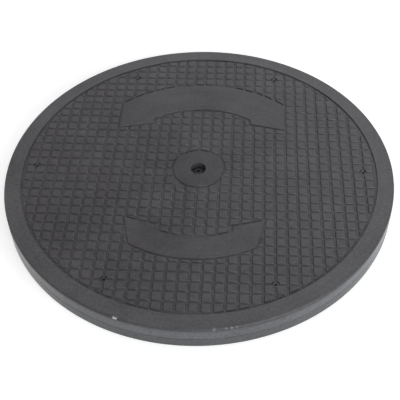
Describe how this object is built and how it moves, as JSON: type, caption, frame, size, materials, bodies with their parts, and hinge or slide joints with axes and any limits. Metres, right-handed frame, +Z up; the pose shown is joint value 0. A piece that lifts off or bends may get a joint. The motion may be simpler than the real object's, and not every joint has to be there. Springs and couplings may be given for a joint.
{
  "type": "swivel transfer disc",
  "caption": "Rigid round swivel disc: a grooved upper half that turns freely on a caged ball bearing over a lower half with rubber feet.",
  "frame": {"origin": "on the turning axis, at the undersides of the rubber feet", "axes": "+Z up along the turning axis; X and Y along the grooves of the tread, with the larger crescent on the +Y side"},
  "size_m": [0.4, 0.4, 0.026],
  "materials": {
    "moulded_top_plastic": "moulded, fine grain",
    "moulded_base_plastic": "moulded, fine grain",
    "upper_race_steel": "pressed, lightly oiled",
    "lower_race_steel": "pressed, lightly oiled",
    "cage_nylon": "natural nylon",
    "ball_steel": "polished",
    "centre_screw_steel": "black finish",
    "retaining_washer_zinc": "zinc plated",
    "spacer_sleeve_steel": "turned",
    "thrust_washer_acetal": "smooth",
    "lock_nut_zinc": "zinc plated",
    "shoe_screw_zinc": "zinc plated",
    "glide_shoe_acetal": "smooth",
    "foot_rubber": "matt"
  },
  "bodies": {
    "base": {"base_plate": "moulded_base_plastic", "lower_race": "lower_race_steel", "centre_screw": "centre_screw_steel", "retaining_washer": "retaining_washer_zinc", "spacer_sleeve": "spacer_sleeve_steel", "thrust_washer": "thrust_washer_acetal", "lock_nut": "lock_nut_zinc", "rubber_foot_1": "foot_rubber", "rubber_foot_2": "foot_rubber", "rubber_foot_3": "foot_rubber", "rubber_foot_4": "foot_rubber", "rubber_foot_5": "foot_rubber", "rubber_foot_6": "foot_rubber", "rubber_foot_7": "foot_rubber", "rubber_foot_8": "foot_rubber"},
    "top": {"top_plate": "moulded_top_plastic", "upper_race": "upper_race_steel", "shoe_screw_1": "shoe_screw_zinc", "shoe_screw_2": "shoe_screw_zinc", "shoe_screw_3": "shoe_screw_zinc", "shoe_screw_4": "shoe_screw_zinc", "shoe_screw_5": "shoe_screw_zinc", "shoe_screw_6": "shoe_screw_zinc", "glide_shoe_1": "glide_shoe_acetal", "glide_shoe_2": "glide_shoe_acetal", "glide_shoe_3": "glide_shoe_acetal", "glide_shoe_4": "glide_shoe_acetal", "glide_shoe_5": "glide_shoe_acetal", "glide_shoe_6": "glide_shoe_acetal"},
    "cage": {"ball_cage": "cage_nylon", "ball_01": "ball_steel", "ball_02": "ball_steel", "ball_03": "ball_steel", "ball_04": "ball_steel", "ball_05": "ball_steel", "ball_06": "ball_steel", "ball_07": "ball_steel", "ball_08": "ball_steel", "ball_09": "ball_steel", "ball_10": "ball_steel", "ball_11": "ball_steel", "ball_12": "ball_steel", "ball_13": "ball_steel", "ball_14": "ball_steel", "ball_15": "ball_steel", "ball_16": "ball_steel", "ball_17": "ball_steel", "ball_18": "ball_steel", "ball_19": "ball_steel", "ball_20": "ball_steel", "ball_21": "ball_steel", "ball_22": "ball_steel", "ball_23": "ball_steel", "ball_24": "ball_steel"}
  },
  "joints": [
    {"name": "top_spin", "type": "hinge", "parent": "base", "child": "top", "pos_m": [0, 0, 0.0129], "axis": [0, 0, 1], "continuous": true},
    {"name": "cage_spin", "type": "hinge", "parent": "base", "child": "cage", "pos_m": [0, 0, 0.0129], "axis": [0, 0, 1], "continuous": true}
  ],
  "couplings": [
    {"joint": "cage_spin", "follows": "top_spin", "ratio": 0.5}
  ]
}
